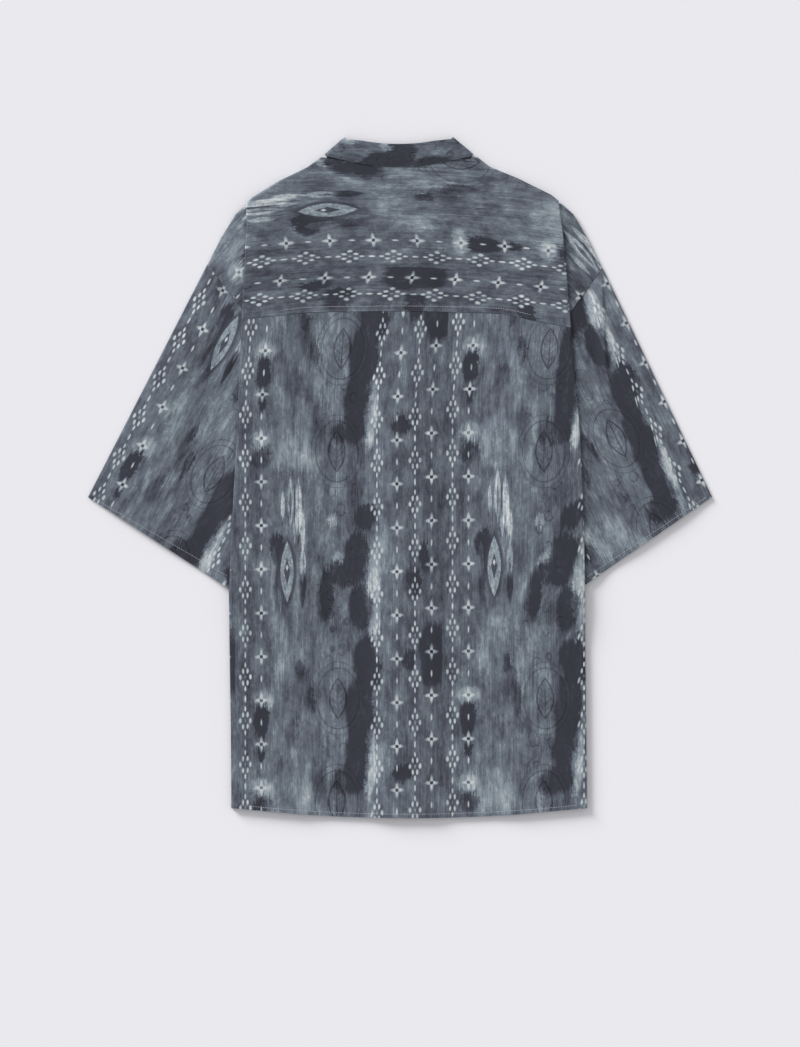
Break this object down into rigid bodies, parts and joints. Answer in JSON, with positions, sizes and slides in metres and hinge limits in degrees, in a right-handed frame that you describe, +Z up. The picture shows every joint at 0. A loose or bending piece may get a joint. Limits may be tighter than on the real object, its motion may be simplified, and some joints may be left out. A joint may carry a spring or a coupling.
{
  "type": "boxy shirt",
  "caption": "Short-sleeved boxy shirt with dropped shoulders and a back yoke, laid flat on its front with both sides tucked under.",
  "frame": {"origin": "on the floor, under the middle of the shirt's outline", "axes": "+X across the shirt to the right as its back is seen, +Y from the hem to the collar, +Z up from the floor, out of the back"},
  "size_m": [0.7174, 0.7831, 0.0086],
  "materials": {
    "cloth": "matte woven cloth with a slate grey ikat print",
    "button": "polished dark grey, four holes"
  },
  "bodies": {
    "root": {"back_yoke": "cloth", "back_panel": "cloth", "front_left": "cloth", "front_right": "cloth", "sleeve_left": "cloth", "sleeve_right": "cloth", "collar_stand": "cloth", "collar_leaf": "cloth", "button_1": "button", "button_2": "button", "button_3": "button", "button_4": "button", "button_5": "button", "button_6": "button"}
  },
  "joints": []
}
